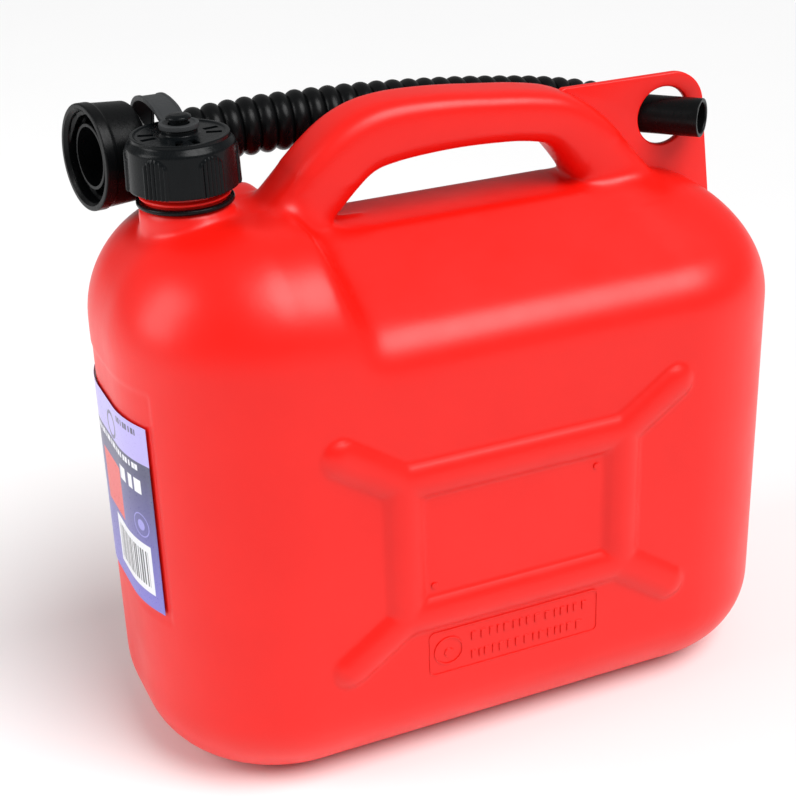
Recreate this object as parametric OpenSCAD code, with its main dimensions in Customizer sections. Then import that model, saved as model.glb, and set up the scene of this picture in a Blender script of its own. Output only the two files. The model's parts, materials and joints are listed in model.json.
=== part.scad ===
// Ten-litre blow-moulded fuel can with a screw cap, a cap retainer and a stowed pouring spout.
// Frame: X along the can, with the neck at -X; Y across it; Z up from the surface it stands on.

/* [Can] */
// Length of the can
body_length = 318; // [314:1:326]
// Width of the can
body_width = 155; // [153:1:160]
// Plan radius of the four upright corners
corner_radius = 66; // [62:1:70]
// Radius of the edge round the base
base_edge = 38; // [34:1:40]
// Height of the flat land under the handle
land_height = 243; // [240:1:245]
// Height of the shoulder round the neck
shoulder_height = 257; // [256:0.5:258]
// Thickness of the can's wall
wall = 2; // [1.6:0.1:2.4]

/* [Panel ribs] */
// Width of a raised rib
rib_width = 17; // [14:1:18]
// How far a rib stands out of the side
rib_rise = 3; // [2:0.5:4]
// Half length of the rib frame, to its corners
rib_half_length = 54; // [50:1:58]
// Half height of the rib frame, to its corners
rib_half_height = 34; // [31:1:37]

/* [Handle and ear] */
// Half width of the handle across the can
handle_half_width = 16; // [14:0.5:17]
// Thickness of the ear that holds the spout's tip
ear_thickness = 3.6; // [3:0.1:4]
// Radius of the hole through the ear
ear_hole_radius = 13.6; // [13.5:0.1:14.5]

/* [Neck and thread] */
// Distance of the neck's axis from the middle of the can
neck_offset = 115.6; // [114:0.1:117]
// Bore radius of the neck
neck_bore = 16; // [15:0.5:16.2]
// Root radius of the neck's thread
neck_radius = 17.6; // [17.4:0.1:17.8]
// Lead of the thread, one turn
thread_pitch = 5; // [4.6:0.1:5.4]

/* [Cap] */
// Radius of the cap's skirt at its lower edge
cap_radius = 23.5; // [23.4:0.1:24]
// How far the shell is pressed down before it grips the inner cap
cap_press = 1.5; // [1:0.1:1.5]
// Ribs in each group of finger grips
grips_per_group = 5; // [3:1:5]
// Groups of finger grips round the skirt
grip_groups = 6; // [4:1:6]

/* [Retainer] */
// Width of the strap
strap_width = 11; // [9:0.5:11]
// Thickness of the strap
strap_thickness = 1.8; // [1.4:0.1:2]

/* [Spout] */
// Outer radius of the coupling nut
nut_radius = 23.3; // [23:0.1:24]
// Radius of the corrugated hose over its ridges
hose_radius = 13.1; // [12.5:0.1:13.2]
// Depth of the corrugation
hose_depth = 2; // [1:0.1:2.2]
// Distance from ridge to ridge
ridge_pitch = 7.6; // [7:0.1:9]
// Outer radius of the smooth tip
tip_radius = 9; // [8.5:0.1:9.1]

/* [Hidden] */

// Colours
can_red = [0.93, 0.06, 0.03];
cap_black = [0.06, 0.07, 0.08];
strap_grey = [0.16, 0.16, 0.17];
seal_black = [0.03, 0.03, 0.03];
label_violet = [0.36, 0.33, 0.62];

// Body outline and heights
half_length = body_length / 2;
half_width = body_width / 2;
spine_end = half_length - half_width;
shoulder_start = 207;
shoulder_reach = 50;
land_reach = 59;
land_slope = 0.55;
edge_radius = 24;
edge_angle = atan(1 / land_slope);
edge_run = edge_radius * (1 - cos(edge_angle));
side_height = land_height - land_slope * (land_reach - edge_run) - edge_radius * sin(edge_angle);
crease_x = -68;
crease_lean = 0.04;
crease_width = 18;
arc_steps = 7;
end_radius = 60;
SIDE_STATIONS = [66, 36, 8, -20, -42, -58, -63, -68, -73, -78];

// Label
label_bottom = 90;
label_height = 91;
label_skin = 0.35;
label_arc_steps = 2;

// Neck stack, from the shoulder up
collar_radius = 20.2;
collar_top = 261.5;
ring_bottom = 261.8;
ring_height = 2.6;
ring_radius = 20.8;
bead_radius = 19;
bead_z = 266;
neck_top = 283.6;
thread_start = 271.5;
thread_turns = 1.9;
thread_depth = 1.7;
thread_clearance = 0.4;
thread_steps = 20;

// Cap stack
skirt_bottom = 269.5;
skirt_top = 288.2;
skirt_top_radius = 22.9;
disc_radius = 20.8;
disc_top = 291.7;
shell_wall = 1.6;
press_clearance = 0.2;
inner_radius = 21.1;
inner_bottom = 270.6;
inner_plate = 1.8;
gasket_height = 1.4;
lug_count = 8;
lug_height = 1.4;
lug_root = 0.3;
inner_top = disc_top - shell_wall - lug_height - press_clearance - cap_press;
hub_radius = 7.6;
hub_top = 293.6;
stud_radius = 4;
stud_head_radius = 5.3;
stud_head_bottom = 297.9;
stud_top = 299.8;
eyelet_bottom = 293.9;
eyelet_height = 2;
eyelet_radius = 8.5;
eyelet_bore = 4.4;

// Rib frame
rib_shift = -0.4;
rib_height = 115;
rib_arm_run = 27;
rib_arm_rise = 18.5;
rib_swell = 0.3;

// Cap details
grip_step = 5.2;
grip_height = 14.5;
grip_turn = 44.5;
slot_turn = -5;
slot_spread = 13;
slot_start = 10.8;
slot_length = 6.6;
slot_width = 3.2;
lug_start = 14.5;
lug_length = 4.4;
lug_width = 2.4;
hose_sides = 16;
tip_gap = 0.8;
tip_collar = 2.5;

// Handle stations: x, z, half thickness
HANDLE = [
    [-86, 232.6, 16], [-68.5, 250.8, 15], [-53, 266.5, 14.5], [-39.5, 276.5, 14], [-24, 280.5, 14],
    [0, 281.3, 13], [24, 280, 12], [44, 277.8, 11.8], [59, 273.5, 12.3], [73, 261.5, 14.3],
    [89, 241, 16], [102, 226, 16]
];
handle_sides = 16;
handle_squareness = 2.7;

// Ear
hole_x = 117.5;
hole_z = 266;
ear_top = 286;
ear_corner_radius = 17.5;
ear_corner = [122, 268.5];
ear_heel = [145, 222];

// Spout: where the coupling nut starts and which way its axis runs
nut_start = [-147.8, 40.2, 274.9];
nut_turn = 10.7;
nut_tilt = 2.6;
nut_band = 21.5;
nut_length = 27;
nut_bore = 10.6;
flange_at = 13;
flange_height = 2;
flange_radius = 18.6;
spigot_radius = 14.4;
spigot_start = 3;
pipe_radius = 9.8;
pipe_bore = 7;
pipe_end = 43;
hose_wall = 1.5;
tip_turn = -50;
tip_rise = 1;
tip_behind = 17;
tip_ahead = 19.5;

// Route of the corrugated hose between the nut's pipe and the tip
HOSE_ROUTE = [
    [-88.8, 45.5, 275.9], [-60, 42, 277.7], [-20, 37, 278.2], [20, 34, 276], [50, 32.8, 272.9],
    [70, 32.4, 270.1], [86, 29.6, 267.4], [96.5, 23.6, 265.8]
];

// Path of the strap beside the cap, as y and z
STRAP_PATH = [
    [8.9, 294.9], [18, 297.4], [30, 298.2], [42, 297], [52, 293.2], [58.4, 286.4], [61, 276.8],
    [59, 265.6], [49.4, 259], [38, 258.9], [28, 261.2], [21.5, 263.1]
];

// Unit step from a turn about Z and a rise above the level
function heading(turn, rise) = [cos(rise) * cos(turn), cos(rise) * sin(turn), sin(rise)];

function smooth(t) = let (u = min(max(t, 0), 1)) u * u * (3 - 2 * u);

function round_rise(d, reach) = sqrt(max(0, 1 - pow(1 - min(d, reach) / reach, 2)));

// Upper half of the plan outline, drawn inwards by inset, from +X round to -X
function half_outline(inset) =
    let (
        hx = half_length - inset,
        hy = half_width - inset,
        r = corner_radius - inset,
        flat = hx - r
    ) concat(
        [[hx, 0]],
        [for (i = [0:arc_steps]) [flat + r * cos(90 * i / arc_steps), hy - r + r * sin(90 * i / arc_steps)]],
        [for (x = SIDE_STATIONS) [x, hy]],
        [for (i = [arc_steps:-1:0]) [-flat - r * cos(90 * i / arc_steps), hy - r + r * sin(90 * i / arc_steps)]],
        [[-hx, 0]]
    );

function mirror_half(half) = concat(half, [for (i = [len(half) - 2:-1:1]) [half[i].x, -half[i].y]]);

// The outline moved inwards by d, towards the middle line of the can
function ring_at(outline, d) = [
    for (p = outline)
        let (spine = [min(max(p.x, -spine_end), spine_end), 0], arm = p - spine)
            spine + arm * (1 - d / norm(arm))
];

// Height of the top, at a distance d in from the side
function scooped_top(d) =
    d < edge_run
        ? side_height + edge_radius * round_rise(d, edge_radius)
        : land_height - land_slope * max(0, land_reach - d);

function full_top(d) = shoulder_start + (shoulder_height - shoulder_start) * round_rise(d, shoulder_reach);

function end_top(d) = land_height - end_radius * (1 - round_rise(d, end_radius));

// How squarely a point faces the end under the ear: 1 at the end, 0 along the sides
function end_share(p) = p.x <= spine_end ? 0 : pow((p.x - spine_end) / norm([p.x - spine_end, p.y]), 2);

function top_height(p, d) =
    let (
        past = p.x - crease_x - crease_lean * abs(p.y),
        t = smooth(past / crease_width + 0.5),
        e = end_share(p)
    ) full_top(d) * (1 - t) + (scooped_top(d) * (1 - e) + end_top(d) * e) * t;

function base_height(d) = base_edge * (1 - round_rise(d, base_edge));

// Closed body from rings: a flat base, upright sides and a shaped top
module body_form(inset, base_steps, top_steps) {
    outline = mirror_half(half_outline(inset));
    count = len(outline);
    half = count / 2;
    base_rings = [
        for (d = base_steps)
            [for (p = ring_at(outline, d)) [p.x, p.y, base_height(d) + inset]]
    ];
    top_rings = [
        for (d = top_steps)
            [for (p = ring_at(outline, d)) [p.x, p.y, top_height(p, d) - inset]]
    ];
    rings = concat(base_rings, top_rings);
    last = (len(rings) - 1) * count;
    polyhedron(
        points = [for (ring = rings) each ring],
        faces = concat(
            [[for (i = [0:count - 1]) i]],
            [
                for (k = [0:len(rings) - 2], i = [0:count - 1])
                    let (a = k * count + i, b = k * count + (i + 1) % count)
                        each [[a, a + count, b + count], [a, b + count, b]]
            ],
            [[last, last + count - 1, last + 1]],
            [
                for (i = [1:half - 2])
                    let (a = last + i, b = last + count - i)
                        each [[a, b, b - 1], [a, b - 1, a + 1]]
            ],
            [[last + half - 1, last + half + 1, last + half]]
        )
    );
}

// Tube or bar through a list of rings, closed at both ends
module sweep(rings) {
    count = len(rings[0]);
    last = (len(rings) - 1) * count;
    polyhedron(
        points = [for (ring = rings) each ring],
        faces = concat(
            [[for (i = [count - 1:-1:0]) i]],
            [
                for (k = [0:len(rings) - 2], i = [0:count - 1])
                    let (a = k * count + i, b = k * count + (i + 1) % count)
                        each [[a, b, b + count], [a, b + count, a + count]]
            ],
            [[for (i = [0:count - 1]) last + i]]
        )
    );
}

function signed_power(v, power) = sign(v) * pow(abs(v), power);

function handle_ring(k, inset) =
    let (
        here = HANDLE[k],
        before = HANDLE[max(k - 1, 0)],
        after = HANDLE[min(k + 1, len(HANDLE) - 1)],
        run = [after.x - before.x, after.y - before.y],
        across = [-run.y, run.x] / norm(run),
        power = 2 / handle_squareness
    ) [
        for (i = [0:handle_sides - 1])
            let (
                a = -360 * i / handle_sides,
                side = (handle_half_width - inset) * signed_power(cos(a), power),
                lift = (here.z - inset) * signed_power(sin(a), power)
            ) [here.x + across.x * lift, side, here.y + across.y * lift]
    ];

module handle_form(inset) {
    sweep([for (k = [0:len(HANDLE) - 1]) handle_ring(k, inset)]);
}

module ear_form() {
    rotate([90, 0, 0])
        linear_extrude(ear_thickness, center = true) {
            polygon([
                [58, 262], [64, ear_top], [ear_corner.x, ear_corner.y + ear_corner_radius], ear_corner,
                [ear_corner.x + ear_corner_radius, ear_corner.y], ear_heel, [ear_heel.x, 200], [90, 220]
            ]);
            translate(ear_corner)
                circle(ear_corner_radius, $fn = 64);
        }
}

// One ridge of the screw thread, as a helix of trapezoids
module thread_ridge(root, crest, start, turns) {
    root_half = 1.1;
    crest_half = 0.6;
    steps = round(turns * thread_steps);
    facing = sign(crest - root);
    corners = [[root, -root_half], [crest, -crest_half], [crest, crest_half], [root, root_half]];
    sweep([
        for (k = [0:steps])
            let (a = 360 * turns * k / steps, z = start + thread_pitch * turns * k / steps)
                [for (c = corners) [c.x * cos(a), c.x * sin(a), z + facing * c.y]]
    ]);
}

// Neck with its collar, its retaining bead and a right-hand thread
module neck_form() {
    translate([-neck_offset, 0, 0]) {
        translate([0, 0, shoulder_height - 6])
            cylinder(neck_top - shoulder_height + 6, r = neck_radius, $fn = 64);
        translate([0, 0, shoulder_height - 6])
            cylinder(collar_top - shoulder_height + 6, r = collar_radius, $fn = 64);
        rotate_extrude($fn = 64)
            translate([bead_radius - 0.9, bead_z])
                circle(0.9, $fn = 24);
        thread_ridge(neck_radius - 0.4, neck_radius + thread_depth, thread_start, thread_turns);
    }
}

// Straight bar with slightly swelled round ends, flat, from one point to another
module bar(from, to) {
    run = to - from;
    for (end = [from, to])
        translate(end)
            circle(rib_width / 2 + rib_swell, $fn = 32);
    translate(from)
        rotate(atan2(run.y, run.x))
            translate([0, -rib_width / 2])
                square([norm(run), rib_width]);
}

// Raised frame with an arm at each corner, as pressed into both sides of the can
module rib_frame() {
    x = rib_half_length;
    z = rib_half_height;
    for (s = [-1, 1]) {
        bar([-x, s * z], [x, s * z]);
        bar([s * x, -z], [s * x, z]);
        for (e = [-1, 1])
            bar([s * x, e * z], [s * (x + rib_arm_run), e * (z + rib_arm_rise)]);
    }
}

module side_ribs() {
    for (turn = [0, 180])
        rotate(turn)
            translate([rib_shift, -half_width + 1, rib_height])
                rotate([90, 0, 0])
                    linear_extrude(rib_rise + 1)
                        rib_frame();
}

module can_body() {
    color(can_red)
        difference() {
            union() {
                body_form(0, [38, 22, 10, 3, 0], [0, 2, 6, 12, 20, 30, 40, 50, 59]);
                handle_form(0);
                ear_form();
                neck_form();
                side_ribs();
            }
            body_form(wall, [36, 18, 6, 0], [0, 2, 6, 12, 20, 30, 40, 50, 62]);
            handle_form(wall);
            translate([-neck_offset, 0, shoulder_height - 12])
                cylinder(neck_top, r = neck_bore, $fn = 64);
            translate([hole_x, 0, hole_z])
                rotate([90, 0, 0])
                    cylinder(4 * ear_thickness, r = ear_hole_radius, center = true, $fn = 64);
        }
}

// Printed skin wrapped round the neck end of the can
module label() {
    outer = half_outline(-label_skin);
    inner = half_outline(0);
    first = len(inner) - 2 - label_arc_steps;
    band = [for (i = [first:len(inner) - 1]) i];
    color(label_violet)
        translate([0, 0, label_bottom])
            linear_extrude(label_height)
                polygon(concat(
                    [for (i = band) outer[i]],
                    [for (k = [len(band) - 2:-1:0]) [outer[band[k]].x, -outer[band[k]].y]],
                    [for (k = [0:len(band) - 2]) [inner[band[k]].x, -inner[band[k]].y]],
                    [for (k = [len(band) - 1:-1:0]) inner[band[k]]]
                ));
}

// Ring that the neck's bead holds on the collar
module retainer_ring() {
    color(strap_grey)
        translate([-neck_offset, 0, ring_bottom])
            difference() {
                union() {
                    cylinder(ring_height, r = ring_radius, $fn = 64);
                    translate([-strap_width / 2, ring_radius - 2, 0])
                        cube([strap_width, 3, ring_height]);
                }
                translate([0, 0, -1])
                    cylinder(ring_height + 2, r = neck_radius + 0.4, $fn = 64);
            }
}

function strap_side(side) = [
    for (k = [0:len(STRAP_PATH) - 1])
        let (
            run = STRAP_PATH[min(k + 1, len(STRAP_PATH) - 1)] - STRAP_PATH[max(k - 1, 0)],
            across = [-run.y, run.x] / norm(run)
        ) STRAP_PATH[k] + across * side * strap_thickness / 2
];

// Strap from the eyelet over the spout's pipe and down to the ring
module retainer_strap() {
    low = strap_side(-1);
    high = strap_side(1);
    color(strap_grey)
        translate([-neck_offset - strap_width / 2, 0, 0])
            rotate([90, 0, 90])
                linear_extrude(strap_width)
                    polygon(concat(low, [for (k = [len(high) - 1:-1:0]) high[k]]));
}

// Eye that turns freely round the cap's stud
module retainer_eyelet() {
    color(strap_grey)
        translate([-neck_offset, 0, eyelet_bottom])
            difference() {
                cylinder(eyelet_height, r = eyelet_radius, $fn = 48);
                translate([0, 0, -1])
                    cylinder(eyelet_height + 2, r = eyelet_bore, $fn = 48);
            }
}

// Outer shell of the cap: turned profile with grips, slots and driving lugs
module shell_profile() {
    polygon([
        [inner_radius + 0.3, skirt_bottom], [cap_radius, skirt_bottom], [cap_radius, skirt_bottom + 1.5],
        [skirt_top_radius, skirt_top], [disc_radius, skirt_top + 1.6], [disc_radius, disc_top],
        [disc_radius - 1.6, disc_top], [disc_radius - 2.2, disc_top - 0.6], [hub_radius, disc_top - 0.6],
        [hub_radius, hub_top], [stud_radius, hub_top], [stud_radius, stud_head_bottom],
        [stud_head_radius, stud_head_bottom], [stud_head_radius, stud_head_bottom + 0.8],
        [stud_radius - 1, stud_top], [0, stud_top], [0, disc_top - shell_wall],
        [inner_radius - 1.9, disc_top - shell_wall], [inner_radius + 0.3, inner_top + 0.6]
    ]);
}

module grip_groups_form() {
    for (g = [0:grip_groups - 1], k = [0:grips_per_group - 1])
        rotate(grip_turn + 360 * g / grip_groups + grip_step * (k - (grips_per_group - 1) / 2))
            translate([cap_radius - 1.1, 0, skirt_bottom])
                cylinder(grip_height, r = 0.9, $fn = 16);
}

module slot_pairs() {
    for (quarter = [0:3], s = [-1, 1])
        rotate(slot_turn + 90 * quarter + s * slot_spread)
            translate([slot_start, -slot_width / 2, disc_top - 3])
                cube([slot_length, slot_width, 6]);
}

module lugs(bottom) {
    for (k = [0:lug_count - 1])
        rotate(360 * k / lug_count)
            translate([lug_start, -lug_width / 2, bottom])
                cube([lug_length, lug_width, lug_height + lug_root]);
}

module cap_shell() {
    color(cap_black)
        translate([-neck_offset, 0, 0])
            difference() {
                union() {
                    rotate_extrude($fn = 96)
                        shell_profile();
                    grip_groups_form();
                    rotate(180 / lug_count)
                        lugs(disc_top - shell_wall - lug_height);
                }
                slot_pairs();
            }
}

module inner_profile() {
    thread_root = neck_radius + thread_depth + thread_clearance;
    polygon([
        [thread_root, inner_bottom], [inner_radius, inner_bottom], [inner_radius, inner_top - inner_plate],
        [inner_radius - 2.1, inner_top], [0, inner_top],
        [0, inner_top - inner_plate], [thread_root, inner_top - inner_plate]
    ]);
}

// Ridge that runs in the groove of the neck's thread, half a turn away from the neck's own ridge
module running_thread(start, turns) {
    thread_ridge(
        neck_radius + thread_depth + thread_clearance + 0.4, neck_radius + thread_clearance, start, turns
    );
}

module cap_inner() {
    color(cap_black)
        translate([-neck_offset, 0, 0]) {
            rotate_extrude($fn = 64)
                inner_profile();
            running_thread(thread_start + thread_pitch / 2, 1.7);
            lugs(inner_top - lug_root);
        }
}

module cap_gasket() {
    color(seal_black)
        translate([-neck_offset, 0, inner_top - inner_plate - gasket_height])
            difference() {
                cylinder(gasket_height, r = neck_radius + thread_depth, $fn = 64);
                translate([0, 0, -1])
                    cylinder(gasket_height + 2, r = neck_bore - 4, $fn = 64);
            }
}

// Places a turned part, drawn along +Z, on the spout's first axis
module on_nut_axis() {
    translate(nut_start)
        rotate([0, 90 + nut_tilt, nut_turn])
            children();
}

module nut_profile() {
    thread_root = neck_radius + thread_depth + thread_clearance;
    polygon([
        [thread_root + 1.6, 0], [nut_radius, 0], [nut_radius, 5], [nut_radius - 0.7, 5.6],
        [nut_radius - 1.6, nut_band], [nut_radius - 5, nut_band + 1.6], [pipe_radius + 3, nut_length],
        [nut_bore, nut_length], [nut_bore, flange_at + flange_height + 0.3],
        [thread_root, flange_at + flange_height + 0.3], [thread_root, 1.6]
    ]);
}

module spout_nut() {
    color(cap_black)
        on_nut_axis() {
            rotate_extrude($fn = 96)
                nut_profile();
            running_thread(2.4, 1.3);
        }
}

module spout_gasket() {
    color(seal_black)
        on_nut_axis()
            translate([0, 0, flange_at - gasket_height])
                difference() {
                    cylinder(gasket_height, r = flange_radius, $fn = 64);
                    translate([0, 0, -1])
                        cylinder(gasket_height + 2, r = spigot_radius + 0.3, $fn = 64);
                }
}

// A point of the route, with bends rounded by a spline through its points
function spline(p0, p1, p2, p3, t) = 0.5 * (
    2 * p1 + (p2 - p0) * t + (2 * p0 - 5 * p1 + 4 * p2 - p3) * t * t + (3 * p1 - p0 - 3 * p2 + p3) * t * t * t
);

function unit(v) = v / norm(v);

nut_axis = heading(nut_turn, -nut_tilt);
tip_axis = heading(tip_turn, tip_rise);
pipe_foot = nut_start + nut_axis * flange_at;
pipe_tail = nut_start + nut_axis * pipe_end;
tip_foot = [hole_x, 0, hole_z] - tip_axis * tip_behind;
ROUTE = concat([pipe_tail - nut_axis * 12, pipe_tail], HOSE_ROUTE, [tip_foot, tip_foot + tip_axis * 12]);
spans = len(ROUTE) - 3;

function route_point(s) =
    let (u = min(max(s, 0), spans), k = min(floor(u), spans - 1))
        spline(ROUTE[k], ROUTE[k + 1], ROUTE[k + 2], ROUTE[k + 3], u - k);

function path_length(k, steps) =
    k == 0 ? 0 : path_length(k - 1, steps) + norm(route_point(spans * k / steps) - route_point(spans * (k - 1) / steps));

route_length = path_length(60, 60);

// Ring round the route, square to it and with its first corner level
function route_ring(s, radius) =
    let (
        along = unit(route_point(min(s + 0.02, spans)) - route_point(max(s - 0.02, 0))),
        level = unit(cross(along, [0, 0, 1])),
        upright = cross(level, along)
    ) [
        for (i = [0:hose_sides - 1])
            let (a = 360 * i / hose_sides)
                route_point(s) + radius * (level * cos(a) + upright * sin(a))
    ];

// Wall of a tube from its outer and inner rings, open at both ends
module tube_sweep(outer, inner) {
    count = len(outer[0]);
    total = len(outer) * count;
    last = total - count;
    polyhedron(
        points = [for (ring = concat(outer, inner)) each ring],
        faces = [
            for (k = [0:len(outer) - 2], i = [0:count - 1])
                let (a = k * count + i, b = k * count + (i + 1) % count)
                    each [
                        [a, b, b + count], [a, b + count, a + count],
                        [total + a, total + b + count, total + b], [total + a, total + a + count, total + b + count]
                    ],
            for (i = [0:count - 1])
                let (b = (i + 1) % count)
                    each [
                        [i, total + i, total + b], [i, total + b, b],
                        [last + i, last + b, last + total + b], [last + i, last + total + b, last + total + i]
                    ]
        ]
    );
}

// Flange with the spigot that enters the neck, and the smooth pipe that the nut turns on
module hose_pipe() {
    on_nut_axis()
        difference() {
            union() {
                translate([0, 0, spigot_start])
                    cylinder(flange_at - spigot_start + 1, r = spigot_radius, $fn = 64);
                translate([0, 0, flange_at])
                    cylinder(flange_height, r = flange_radius, $fn = 64);
                translate([0, 0, flange_at])
                    cylinder(pipe_end - flange_at + 1, r = pipe_radius, $fn = 48);
            }
            translate([0, 0, spigot_start - 1])
                cylinder(flange_at - spigot_start + 1, r = spigot_radius - hose_wall, $fn = 64);
            translate([0, 0, flange_at - 1])
                cylinder(pipe_end - flange_at + 4, r = pipe_bore, $fn = 48);
        }
}

// Corrugated wall, one ring on each ridge and one in each groove
module corrugation() {
    halves = 2 * round(route_length / ridge_pitch);
    groove_radius = hose_radius - hose_depth;
    tube_sweep(
        [for (k = [0:halves]) route_ring(spans * k / halves, k % 2 == 0 ? groove_radius : hose_radius)],
        [for (k = [0:halves]) route_ring(spans * k / halves, groove_radius - hose_wall)]
    );
}

module spout_hose() {
    color(cap_black) {
        hose_pipe();
        corrugation();
    }
}

module spout_tip() {
    color(cap_black)
        translate([hole_x, 0, hole_z])
            rotate([0, 90 - tip_rise, tip_turn])
                translate([0, 0, -tip_behind])
                    difference() {
                        union() {
                            translate([0, 0, tip_gap])
                                cylinder(tip_collar, r = hose_radius - hose_depth, $fn = 48);
                            translate([0, 0, tip_gap])
                                cylinder(tip_behind + tip_ahead - tip_gap, r = tip_radius, $fn = 48);
                        }
                        translate([0, 0, -1])
                            cylinder(tip_behind + tip_ahead + 2, r = pipe_bore, $fn = 48);
                    }
}

can_body();
label();
retainer_ring();
retainer_strap();
retainer_eyelet();
cap_shell();
cap_inner();
cap_gasket();
spout_nut();
spout_gasket();
spout_hose();
spout_tip();
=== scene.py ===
import json
import math

import bmesh
import bpy
import numpy as np
from mathutils import Matrix, Vector


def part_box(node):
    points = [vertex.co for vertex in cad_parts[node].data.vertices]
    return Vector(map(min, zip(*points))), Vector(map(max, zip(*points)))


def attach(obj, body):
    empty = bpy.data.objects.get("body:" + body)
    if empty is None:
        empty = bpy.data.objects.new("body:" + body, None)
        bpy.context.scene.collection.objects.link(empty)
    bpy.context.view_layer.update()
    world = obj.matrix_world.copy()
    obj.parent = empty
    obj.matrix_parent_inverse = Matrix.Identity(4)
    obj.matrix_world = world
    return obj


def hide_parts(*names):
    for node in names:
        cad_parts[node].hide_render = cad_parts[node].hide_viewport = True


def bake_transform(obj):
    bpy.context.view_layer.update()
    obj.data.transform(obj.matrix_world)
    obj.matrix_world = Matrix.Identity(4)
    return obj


MM = 0.001
UP = np.array([0.0, 0.0, 1.0])

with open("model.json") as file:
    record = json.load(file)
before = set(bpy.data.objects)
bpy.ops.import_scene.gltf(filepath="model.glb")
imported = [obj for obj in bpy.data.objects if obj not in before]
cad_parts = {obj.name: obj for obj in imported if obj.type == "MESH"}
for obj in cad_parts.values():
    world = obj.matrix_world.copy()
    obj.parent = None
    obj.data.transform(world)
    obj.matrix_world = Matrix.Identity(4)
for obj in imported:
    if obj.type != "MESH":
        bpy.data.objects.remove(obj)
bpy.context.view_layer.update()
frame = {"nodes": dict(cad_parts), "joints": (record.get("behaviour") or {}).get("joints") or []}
joints = {joint["name"]: joint for joint in frame["joints"]}


# ---------------------------------------------------------------- measured from the frame, in millimetres

def box_mm(node):
    """Lowest and highest corner of a CAD node at rest."""
    low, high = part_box(node)
    return np.array(low) / MM, np.array(high) / MM


cap_low, cap_high = box_mm("cap_shell")
NECK_X = (cap_low[0] + cap_high[0]) / 2
NUT_START = np.array(joints["nut_turn"]["pos_m"]) / MM
NUT_AXIS = np.array(joints["nut_turn"]["axis"])


# ---------------------------------------------------------------- mesh helpers

def new_piece(name, points, faces, material, smooth=True):
    """Object from points in millimetres and faces that index them."""
    mesh = bpy.data.meshes.new(name)
    mesh.from_pydata((np.asarray(points, float) * MM).tolist(), [], [list(map(int, f)) for f in faces])
    mesh.validate()
    work = bmesh.new()
    work.from_mesh(mesh)
    bmesh.ops.remove_doubles(work, verts=work.verts, dist=1e-6)
    bmesh.ops.recalc_face_normals(work, faces=work.faces)
    work.to_mesh(mesh)
    work.free()
    for polygon in mesh.polygons:
        polygon.use_smooth = smooth
    piece = bpy.data.objects.new(name, mesh)
    bpy.context.scene.collection.objects.link(piece)
    mesh.materials.append(material)
    return piece


def grid_faces(rows, columns, close_rows=False, close_columns=True):
    """Quads of a grid of points stored row by row."""
    faces = []
    for row in range(rows if close_rows else rows - 1):
        for column in range(columns if close_columns else columns - 1):
            a = row * columns + column
            b = row * columns + (column + 1) % columns
            c = (row + 1) % rows * columns + (column + 1) % columns
            d = (row + 1) % rows * columns + column
            faces.append((a, b, c, d))
    return faces


def add_sharp_edges(piece, degrees=38):
    """Shades smooth, but keeps creases sharper than the angle."""
    work = bmesh.new()
    work.from_mesh(piece.data)
    for edge in work.edges:
        edge.smooth = edge.calc_face_angle(0) < math.radians(degrees)
    work.to_mesh(piece.data)
    work.free()
    return piece


def resample(profile, step):
    """A polyline with its long runs cut into steps."""
    points = []
    for start, end in zip(profile[:-1], profile[1:]):
        start, end = np.array(start, float), np.array(end, float)
        count = max(1, int(round(np.linalg.norm(end - start) / step)))
        points += [start + (end - start) * k / count for k in range(count)]
    return np.array(points + [np.array(profile[-1], float)])


def round_corners(profile, radius, steps=4):
    """A closed or open profile of (r, z) with its corners rounded."""
    rounded = [np.array(profile[0], float)]
    for before, here, after in zip(profile[:-2], profile[1:-1], profile[2:]):
        here = np.array(here, float)
        to_before = np.array(before, float) - here
        to_after = np.array(after, float) - here
        reach_before = min(radius, 0.45 * np.linalg.norm(to_before))
        reach_after = min(radius, 0.45 * np.linalg.norm(to_after))
        start = here + to_before / np.linalg.norm(to_before) * reach_before
        end = here + to_after / np.linalg.norm(to_after) * reach_after
        for k in range(steps + 1):
            t = k / steps
            rounded.append((1 - t) ** 2 * start + 2 * t * (1 - t) * here + t ** 2 * end)
    rounded.append(np.array(profile[-1], float))
    return rounded


def lathe(profile, steps, closed=False):
    """Points and faces of a profile of (r, z) turned about Z."""
    profile = np.array(profile, float)
    angles = np.linspace(0, 2 * math.pi, steps, endpoint=False)
    points = np.stack([
        profile[:, 0, None] * np.cos(angles),
        profile[:, 0, None] * np.sin(angles),
        np.repeat(profile[:, 1, None], steps, axis=1),
    ], axis=-1).reshape(-1, 3)
    return points, grid_faces(len(profile), steps, close_rows=closed)


def frame_on(axis):
    """Columns x, y, z of a right-handed frame whose z is the axis."""
    z = axis / np.linalg.norm(axis)
    x = np.cross(UP, z)
    x = x / np.linalg.norm(x)
    return np.stack([x, np.cross(z, x), z], axis=1)


def placed(points, origin, axis):
    """Points drawn along +Z, moved to an origin and turned to an axis."""
    return np.asarray(points) @ frame_on(np.array(axis, float)).T + np.array(origin, float)


def catmull(points, samples):
    """Smooth curve through points, with samples steps between each two."""
    points = np.array(points, float)
    ends = np.vstack([2 * points[0] - points[1], points, 2 * points[-1] - points[-2]])
    curve = []
    for k in range(1, len(ends) - 2):
        p0, p1, p2, p3 = ends[k - 1:k + 3]
        for t in np.arange(samples) / samples:
            curve.append(0.5 * (
                2 * p1 + (p2 - p0) * t + (2 * p0 - 5 * p1 + 4 * p2 - p3) * t ** 2
                + (3 * p1 - p0 - 3 * p2 + p3) * t ** 3
            ))
    curve.append(ends[-2])
    return np.array(curve)


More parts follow.
